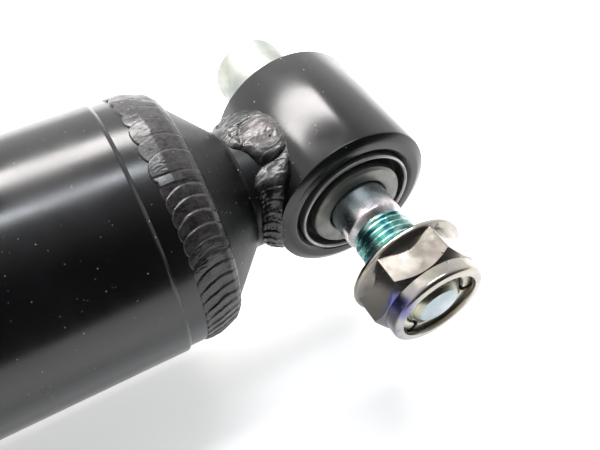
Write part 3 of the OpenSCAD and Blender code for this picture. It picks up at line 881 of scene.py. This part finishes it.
def eye_weld():
    """Heavy weld between neck and eye: on top it runs up the neck as a round pool, a lip and a lobe."""
    steps, across = 900, 72

    def top(theta, share):
        """Distance along the shock, and radius, of the fillet; share runs from the eye to the neck."""
        far = ease(abs(theta - 10), 55, 75)
        leg = 3.2 + 6.2 * hill(theta, -6, 25) + 2.0 * hill(theta, 44, 13) + 0.35 * soft_noise(theta / 9)
        rise = 2.1 - 0.9 * hill(theta, -4, 30) + 0.7 * hill(theta, 46, 12) + 0.15 * soft_noise(theta / 7, 3.0)
        turn = share * math.pi / 2
        along, out = leg * math.sin(turn) ** 1.25, rise * math.cos(turn) ** 1.15
        # The pool beside the eye, the lip at its toe, the lobe below them and the hollow between
        from_pool = math.hypot((theta - 7) / 19, (along - 3.2) / 3.1)
        pool = math.sqrt(max(1 - (from_pool / 1.25) ** 2, 0.0))
        moat = hill(from_pool, 1.3, 0.16) * (1 - far)
        lip = hill(along, leg * 0.93, 0.55) * hill(theta, 8, 24)
        lobe = (1 - ease(math.hypot((theta - 45) / 14, (along - 1.6) / 2.2), 0.5, 1.2))
        hollow = hill(theta, 31, 6) * ease(share, 0.35, 0.6) * (1 - ease(share, 0.9, 1.0))
        swirl = math.sin(TAU * (from_pool * 3.4 + 0.5 * soft_noise(theta / 9, share * 4, 6)))
        ripple = (theta + 6 * math.sin(math.pi * share)) / 9.0
        tooth = ripple - math.floor(ripple)
        scales = ease(tooth, 0.0, 0.2) * (1 - tooth)
        lumps = 0.26 * soft_noise(theta / 6, share * 4) + 0.09 * soft_noise(theta / 2.1, share * 11)
        lift = (0.85 * pool - 0.3 * moat + 0.75 * lip + 0.9 * lobe - 0.8 * hollow + 0.05 * swirl * pool
                + 0.3 * scales * (1 - pool) + lumps * (1 - 0.8 * pool))
        pin = math.hypot(math.radians(theta - 12) * NECK_R, along - 3.3)
        lift *= ease(share, 0.0, 0.35) * (1 - ease(share, 0.93, 1.0))
        lift -= 0.55 * (1 - ease(pin, 0.12, 0.36))
        radius = NECK_R + out + lift * math.cos(turn) ** 0.3 - 0.2 * share
        height = radius * math.cos(math.radians(theta))
        eye_side = math.sqrt(max(EYE_R ** 2 - height * height, 0.0))
        return eye_side - 0.35 + along + lift * 0.5 * math.sin(turn), radius

    def place(i, j):
        theta = 360 * i / steps
        signed = theta if theta < 180 else theta - 360
        if j < across:
            x, radius = top(signed, j / (across - 1))
        else:
            radius = NECK_R - 1.2
            saddle = math.sqrt(EYE_R ** 2 - (radius * math.cos(math.radians(theta))) ** 2)
            x = saddle + (2.5 if j == across else -0.6)
        return Vector((x, radius * math.sin(math.radians(theta)), radius * math.cos(math.radians(theta))))

    fillet = grid_piece("eye_weld_finished", steps, across + 2, place)
    smooth(fillet, 60)
    return finish_piece(fillet, MATERIALS["eye_weld_paint"], "damper_body")


def cam_lugs():
    """Two blocks on the tube with a run of weld along each long side."""
    length = X_CAM - PRELOAD - 0.4 - X_LUG
    lugs = block((length, LUG_W, RAMP_R2 - TUBE_R + 1), (X_LUG + length / 2, 0, (RAMP_R2 + TUBE_R - 1) / 2))
    lugs.name = "cam_lugs_finished"
    soften(lugs, 0.6, segments=3)
    for side in (-1, 1):
        cut(lugs, lug_weld(side, length), "UNION")
    cut(lugs, bar(TUBE_R - 0.02, 40, (X_LUG + 4, 0, 0), "X", sides=256))
    other = copy_of(lugs)
    turn_about(other, "X", 180)
    join(lugs, other)
    smooth(lugs, 40)
    return finish_piece(lugs, MATERIALS["weld_paint"], "damper_body")


def lug_weld(side, length):
    """A small bead of overlapping scales beside a lug."""
    rows, around = 90, 16

    def place(i, j):
        along, turn = i / (rows - 1), TAU * j / around
        scale = along * 7 % 1.0
        taper = min(1.0, 0.3 + 6 * min(along, 1 - along))
        radius = (1.15 + 0.25 * ease(scale, 0.0, 0.3) * (1 - scale)) * taper
        out, beside = TUBE_R + 0.1 + radius * math.cos(turn), LUG_W / 2 + 0.1 + radius * math.sin(turn)
        return Vector((X_LUG + 0.3 + (length - 0.6) * along, side * beside, out))

    bead = grid_piece("lug_weld", rows, around, place, wrap_rows=False)
    fill_ends(bead)
    return bead


def dust_cap():
    """Pressed cap over the tube's end, with three slots for a hook spanner."""
    piece = turned("dust_cap_finished", [
        (ROD_R + 2.5, X_SEAL), (17, X_SEAL), (17, 201.6), (22.8, 201.6), (22.8, X_TUBE_END),
        (TUBE_R, X_TUBE_END), (TUBE_R, X_CAP_END - 0.8), (TUBE_R - 0.8, X_CAP_END),
        (19.5, X_CAP_END), (18.8, X_CAP_END - 0.7),
        (12.2, X_CAP_END - 0.7), (11.5, X_CAP_END), (ROD_R + 2.5, X_CAP_END)], steps=160, soft=0.2)
    for turn in (0, 120, 240):
        tool = block((3, 4, 5), (X_CAP_END, 0, TUBE_R))
        turn_about(tool, "X", turn)
        cut(piece, tool)
    smooth(piece)
    return finish_piece(piece, MATERIALS["seat_paint"], "damper_body")


def wiper_seal():
    inner = ROD_R + 0.05
    piece = turned("wiper_seal_finished", [
        (ROD_R + 0.8, X_SEAL), (ROD_R + 2.5, X_SEAL), (ROD_R + 2.5, X_CAP_END),
        (ROD_R + 1.9, X_CAP_END + 0.3), (ROD_R + 1.5, X_CAP_END + 1),
        (ROD_R + 0.5, X_CAP_END + 1), (inner, X_CAP_END + 0.6),
        (inner, X_CAP_END), (ROD_R + 0.6, X_CAP_END - 1.2), (inner + 0.1, 205)], steps=96)
    return finish_piece(piece, MATERIALS["black_rubber"], "damper_body")


def piston_rod():
    """Hard chromed rod: bored for the needle, waisted to a spigot for the piston, cross-bored at its end."""
    spigot, needle = ROD_R - 2, 2.0
    piece = turned("piston_rod_finished", [
        (needle, X_NUT - 2), (spigot - 0.6, X_NUT - 2), (spigot, X_NUT - 1.4), (spigot, X_SHOULDER),
        (ROD_R - 0.3, X_SHOULDER), (ROD_R, X_SHOULDER + 0.3), (ROD_R, X_CLEVIS), (ROD_R - 1, X_CLEVIS),
        (ROD_R - 1, X_FORK - 2), (needle, X_FORK - 2)], steps=128)
    cut(piece, bar(2.7, 10, (X_SCREW, 0, 5), "Z", sides=48))
    smooth(piece)
    return finish_piece(piece, MATERIALS["rod_chrome"], "rod_assembly")


def bump_stop():
    """Foam buffer with soft rounded bellies and waists between them."""
    start, end = X_CAP_END + 1.5 + STROKE, X_STOP
    steps = 44

    def outside(share):
        x = start + 0.25 + (end - start - 0.5) * share
        belly = 11.6 + 3.3 * share + 1.0 * math.cos(TAU * (share * 2.35 - 0.2))
        ends = min(1.0, (share / 0.09) if share < 0.09 else (1 - share) / 0.04)
        return belly - 1.6 * (1 - math.sqrt(max(1 - (1 - ends) ** 2, 0.0))), x

    outline = [outside(i / steps) for i in range(steps + 1)]
    piece = turned("bump_stop_finished", [(ROD_R + 0.05, start + 0.3), (ROD_R + 0.6, start + 0.02), *outline,
                                          (ROD_R + 0.05, end)], steps=128)
    smooth(piece, 60)
    finish_piece(piece, MATERIALS["foam"], "rod_assembly")
    return piece


def bump_washer():
    piece = turned("bump_washer_finished", [
        (ROD_R, X_STOP + 0.05), (15.7, X_STOP + 0.05), (15.9, 284.6), (15.9, 283.1), (16.2, 282.8),
        (16.5, 282.8), (16.8, 283.1), (16.8, 285.6), (16.2, X_WASHER_BACK),
        (ROD_R, X_WASHER_BACK)], soft=0.1)
    return finish_piece(piece, MATERIALS["plain_steel"], "rod_assembly")


def seat_stopper():
    """Split collar: it drops over the rod sideways and is held by the seat's bore."""
    piece = turned("seat_stopper_finished", [
        (ROD_R, X_WASHER_BACK), (15, X_WASHER_BACK), (16, 287.6), (16, X_SEAT_BACK),
        (19, X_SEAT_BACK), (19, X_CLEVIS), (ROD_R, X_CLEVIS)], steps=128)
    cut(piece, block((9.6, 2 * ROD_R, 20), (290.3, 0, 10)))
    soften(piece, 0.25)
    smooth(piece)
    return finish_piece(piece, MATERIALS["plain_steel"], "rod_assembly")


def lower_spring_seat():
    """Deep pressed dish with a rolled rim, an inner rim that centres the spring, and drain holes."""
    rim = X_SPRING_END - 9
    piece = turned("lower_spring_seat_finished", [
        (16, X_SPRING_END), (24.8, X_SPRING_END), (24.8, X_SPRING_END - 3.6), (25.2, X_SPRING_END - 4),
        (26.4, X_SPRING_END - 4), (26.8, X_SPRING_END - 3.6), (GROOVE_IN, X_SPRING_END),
        (GROOVE_OUT, X_SPRING_END), (GROOVE_OUT, rim + 0.4), (39.9, rim), (SEAT_R - 0.5, rim),
        (SEAT_R, rim + 0.6), (SEAT_R, rim + 2.6),
        (SEAT_R - 0.5, rim + 3.2), (SEAT_R - 0.5, 288.6), *arc((SEAT_R - 2.4, 289.1), 1.9, 0, 90, 7),
        (30, X_SEAT_BACK), (28.8, 290.3), (22, 290.3), (20.8, X_SEAT_BACK), (16, X_SEAT_BACK)],
        steps=192, soft=0.25)
    for turn in range(0, 360, 60):
        tool = bar(2.2, 12, (289, 0, 33.5), "X", sides=40)
        turn_about(tool, "X", turn + 30)
        cut(piece, tool)
    smooth(piece)
    return finish_piece(piece, MATERIALS["seat_paint"], "rod_assembly")


def upper_spring_seat():
    piece = turned("upper_spring_seat_finished", [
        (SLIDE_BORE, X_SEAT), (30, X_SEAT), (30.6, X_SEAT + 0.5), (36, X_SEAT + 0.5), (36.6, X_SEAT),
        *arc((SEAT_R - 1.5, X_SEAT + 1.5), 1.5, -90, 0, 6), (SEAT_R, X_SPRING + 3.4),
        (SEAT_R - 0.6, X_SPRING + 4), (39.9, X_SPRING + 4), (GROOVE_OUT, X_SPRING + 3.6),
        (GROOVE_OUT, X_SPRING), (GROOVE_IN, X_SPRING), (26.9, X_SPRING + 3.6),
        (26.6, X_SPRING + 4), (SLIDE_BORE, X_SPRING + 4)],
        steps=192, soft=0.25)
    return finish_piece(piece, MATERIALS["seat_paint"], "preload_seat")


def seat_washer():
    piece = turned("seat_washer_finished", [
        (SLIDE_BORE, X_SEAT - 2), (CAM_RIM, X_SEAT - 2), (CAM_RIM, X_SEAT), (SLIDE_BORE, X_SEAT)], soft=0.3)
    return finish_piece(piece, MATERIALS["nylon"], "preload_seat")


def preload_cam():
    """Ring with two stepped ramps that bear on the lugs, and six pockets for a hook spanner."""
    rows, steps_up, back = 1440, 7, X_SEAT - 2.3
    bore, rim = SLIDE_BORE, CAM_RIM
    start = 90 - 8

    def ramp_face(angle):
        """Where the ramp's top lies at an angle, level on each step, or None clear of the ramp."""
        a = (angle - start) % 180
        end = RAMP_ANGLE - 5
        if a > end:
            return None
        step = min(int(a / (end / steps_up)) + 1, steps_up)
        return X_CAM - PRELOAD * (1 - step * end / steps_up / RAMP_ANGLE)

    def place(i, j):
        angle = 360 * i / rows
        top = ramp_face(angle) or X_CAM
        section = [(bore, X_CAM), (RAMP_R1, X_CAM), (RAMP_R1, top + 0.25), (RAMP_R1 + 0.25, top),
                   (RAMP_R2 - 0.25, top), (RAMP_R2, top + 0.25), (RAMP_R2, X_CAM + 0.02),
                   (rim - 0.5, X_CAM + 0.02), (rim, X_CAM + 0.5), (rim, back - 0.5),
                   (rim - 0.5, back), (bore, back)]
        radius, x = section[j]
        if top == X_CAM:
            x = max(x, X_CAM)
        turn = math.radians(angle)
        return Vector((x, radius * math.cos(turn), radius * math.sin(turn)))

    piece = grid_piece("preload_cam_finished", rows, 12, place)
    for turn in range(30, 390, 60):
        tool = block((5, 5, 6), (X_CAM + 5, 33.5, 0))
        soften(tool, 0.4)
        turn_about(tool, "X", turn)
        cut(piece, tool)
    smooth(piece, 30)
    return finish_piece(piece, MATERIALS["cam_steel"], "preload_cam")


def coil_spring():
    """Round wire on a helix; both end turns lie close and are ground flat to half their thickness."""
    around, per_turn = 20, 96
    rows = int(SPRING_TURNS * per_turn) + 1
    closed, lift = 1 / SPRING_TURNS, 2 * WIRE_R + 0.3
    span = X_SPRING_END - X_SPRING - 2 * WIRE_R

    def along(share):
        if share < closed:
            return lift * share / closed - 0.55 * WIRE_R * (1 - share / closed)
        if share > 1 - closed:
            return span - lift * (1 - share) / closed + 0.55 * WIRE_R * (1 - (1 - share) / closed)
        return lift + (span - 2 * lift) * (share - closed) / (1 - 2 * closed)

    def place(i, j):
        turn, section = TAU * i / per_turn, TAU * j / around
        radius = COIL_R + WIRE_R * math.cos(section)
        x = X_SPRING + WIRE_R + along(i / (rows - 1)) + WIRE_R * math.sin(section)
        return Vector((x, radius * math.cos(turn), radius * math.sin(turn)))

    spring = grid_piece("coil_spring_finished", rows, around, place, wrap_rows=False)
    fill_ends(spring)
    for x, outwards in ((X_SPRING, -1), (X_SPRING_END, 1)):
        edit(spring, "VERT")
        bpy.ops.mesh.select_all(action="SELECT")
        bpy.ops.mesh.bisect(plane_co=(x * MM, 0, 0), plane_no=(outwards, 0, 0), clear_outer=True,
                            use_fill=True)
        bpy.ops.object.mode_set(mode="OBJECT")
    smooth(spring, 40)
    finish_piece(spring, MATERIALS["spring_paint"], "preload_seat")
    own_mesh(spring)
    return spring


def lower_clevis():
    """Cast fork: round boss and two ears run together with cast fillets, then the faces machined."""
    half, ear, reach = CLEVIS_GAP / 2, EAR_T, EAR_R
    body = bar(18.4, X_FORK - X_CLEVIS + 4, ((X_CLEVIS + X_FORK) / 2 + 2.6, 0, 0), "X", sides=96)
    body.name = "lower_clevis_finished"
    for side in (-1, 1):
        y = side * (half + ear / 2)
        cut(body, bar(reach - 0.5, ear + 1.2, (X_PIVOT, y - side * 0.8, 0), "Y", sides=96), "UNION")
        cut(body, block((X_PIVOT - X_CLEVIS - 5.5, ear + 1.2, 2 * reach - 1),
                        ((X_PIVOT + X_CLEVIS + 5.5) / 2, y - side * 0.8, 0)), "UNION")
        cut(body, bar(8.5, 1.4, (X_PIVOT, side * (half + ear - 0.75), 0), "Y", sides=64), "UNION")
    apply_modifier(body, "REMESH", mode="VOXEL", voxel_size=0.55 * MM)
    apply_modifier(body, "SMOOTH", factor=0.6, iterations=14)
    for tool in (block((60, CLEVIS_GAP, 44), (X_FORK + 30, 0, 0)),
                 bar(CLEVIS_HOLE / 2, 60, (X_PIVOT, 0, 0), "Y", sides=96),
                 bar(ROD_R - 1, 13, (X_CLEVIS + 5.5, 0, 0), "X", sides=64),
                 bar(4.2, 20, (X_SCREW, 0, 15), "Z", sides=64),
                 block((10, 50, 50), (X_CLEVIS - 5, 0, 0))):
        cut(body, tool)
    for side in (-1, 1):
        cut(body, block((60, 10, 60), (X_PIVOT, side * (half + ear + 5 - 0.05), 0)))
    smooth(body, 35)
    return finish_piece(body, MATERIALS["cast_aluminium"], "rod_assembly")


def rebound_adjuster():
    """Screw with a cone tip, a groove for its O-ring and a slot across its click head."""
    piece = turned("rebound_adjuster_finished", [
        (0, -0.6), (0.8, -0.6), (2.2, 2.2), (2.2, 6.6), (3.4, 6.6), (4.15, 7.4), (4.15, 11), (3.1, 11),
        (3.1, 13), (4.15, 13), (4.15, 20.4), (3.4, 21.2), (0, 21.2)],
        "Z", steps=96, closed=False, soft=0.1)
    piece.data.transform(Matrix.Translation((X_SCREW * MM, 0, 0)))
    cut(piece, block((10, 1.2, 4), (X_SCREW, 0, 21.4)))
    off_seam = 1.3  # keeps the notches clear of the lathe's own edges
    for turn in range(0, 360, 20):
        notch = bar(0.35, 5, (4.35, 0, 19.5), "Z", sides=12)
        turn_about(notch, "Z", turn + off_seam)
        notch.data.transform(Matrix.Translation((X_SCREW * MM, 0, 0)))
        cut(piece, notch)
    smooth(piece)
    return finish_piece(piece, MATERIALS["adjuster_brass"], "rebound_adjuster")


for make in (eye_tube, bush_shell, bush_rubber, inner_sleeve, pivot_bolt, flange_nut, nut_lock_ring,
             end_cap, damper_tube, cap_weld, eye_weld, cam_lugs, dust_cap, wiper_seal, piston_rod, bump_stop,
             bump_washer, seat_stopper, lower_spring_seat, upper_spring_seat, seat_washer, preload_cam,
             coil_spring, lower_clevis, rebound_adjuster):
    make()


# ---- Floor, light and camera ----

def studio():
    deselect()
    bpy.ops.mesh.primitive_plane_add(size=6, location=(0.1, -2.68, -SEAT_R * MM - 0.0002))
    floor = bpy.context.object
    floor.name = "floor"
    paper = Finish("paper", (0.86, 0.86, 0.85), 0.7)
    fibres = paper.effect("grain", Fine_scale=600.0, Coarse_scale=6.0)
    paper.tint(fibres["Patches"], (0.83, 0.84, 0.86), 0.6)
    paper.shader.inputs["Emission Color"].default_value = (1, 1, 1, 1)
    paper.shader.inputs["Emission Strength"].default_value = 0.4
    floor.data.materials.append(paper.done())

    world = bpy.data.worlds.new("studio")
    bpy.context.scene.world = world
    world.use_nodes = True
    tree = world.node_tree
    background = tree.nodes["Background"]
    direction = tree.nodes.new("ShaderNodeTexCoord").outputs["Generated"]
    split = add(tree, "ShaderNodeSeparateXYZ")
    tree.links.new(direction, split.inputs[0])
    window_side = remap(tree, split.outputs["Y"], 0.75, -0.1, 0.03, 1.0)
    overhead = remap(tree, split.outputs["Z"], 0.5, 0.85, 1.5, 0.75)
    camera_ray = tree.nodes.new("ShaderNodeLightPath").outputs["Is Camera Ray"]
    strength = math_node(tree, "MAXIMUM", math_node(tree, "MULTIPLY", window_side, overhead), camera_ray)
    background.inputs["Color"].default_value = (0.98, 0.99, 1, 1)
    tree.links.new(strength, background.inputs["Strength"])

    lamp("window", (0, -85, 50), 1.2, (1.2, 0.33), 25, (1.0, 0.97, 0.955))
    lamp("ceiling", (0, -120, 83), 1.3, (0.9, 0.14), 8, (0.90, 0.95, 1.0))
    bpy.context.scene.view_settings.view_transform = "Standard"


def lamp(name, direction, distance, size, watts, colour):
    """An area lamp in a direction (turn, azimuth, elevation), facing the eye of the shock."""
    turn, azimuth, elevation = (math.radians(a) for a in direction)
    light = bpy.data.lights.new(name, "AREA")
    light.shape = "RECTANGLE"
    light.size, light.size_y = size
    light.energy = watts
    light.color = colour
    aim = Vector((0.04, 0, 0))
    away = Vector((math.cos(azimuth) * math.cos(elevation), math.sin(azimuth) * math.cos(elevation),
                   math.sin(elevation)))
    stand = bpy.data.objects.new(name, light)
    bpy.context.scene.collection.objects.link(stand)
    across = AXES["X"] - away * AXES["X"].dot(away)
    across.normalize()
    upward = away.cross(across)
    stand.matrix_world = Matrix.Translation(aim + away * distance) @ Matrix(
        (across, upward, away)).transposed().to_4x4() @ Matrix.Rotation(turn, 4, "Z")
    stand.visible_camera = False
    return stand


def camera():
    """The camera looks down at the eye from beyond the nut."""
    lens = bpy.data.cameras.new("camera")
    lens.lens, lens.sensor_width = 40.46, 36.0
    lens.clip_start, lens.clip_end = 0.005, 50
    eye = bpy.data.objects.new("camera", lens)
    bpy.context.scene.collection.objects.link(eye)
    across = Vector((-0.87142, 0.49054, -0.00133))
    upward = Vector((-0.38257, -0.67792, 0.62774))
    back = across.cross(upward)
    eye.matrix_world = Matrix.Translation((0.05214, 0.08529, 0.10086)) @ Matrix(
        (across, upward, back)).transposed().to_4x4()
    bpy.context.scene.camera = eye


studio()
camera()
deselect()
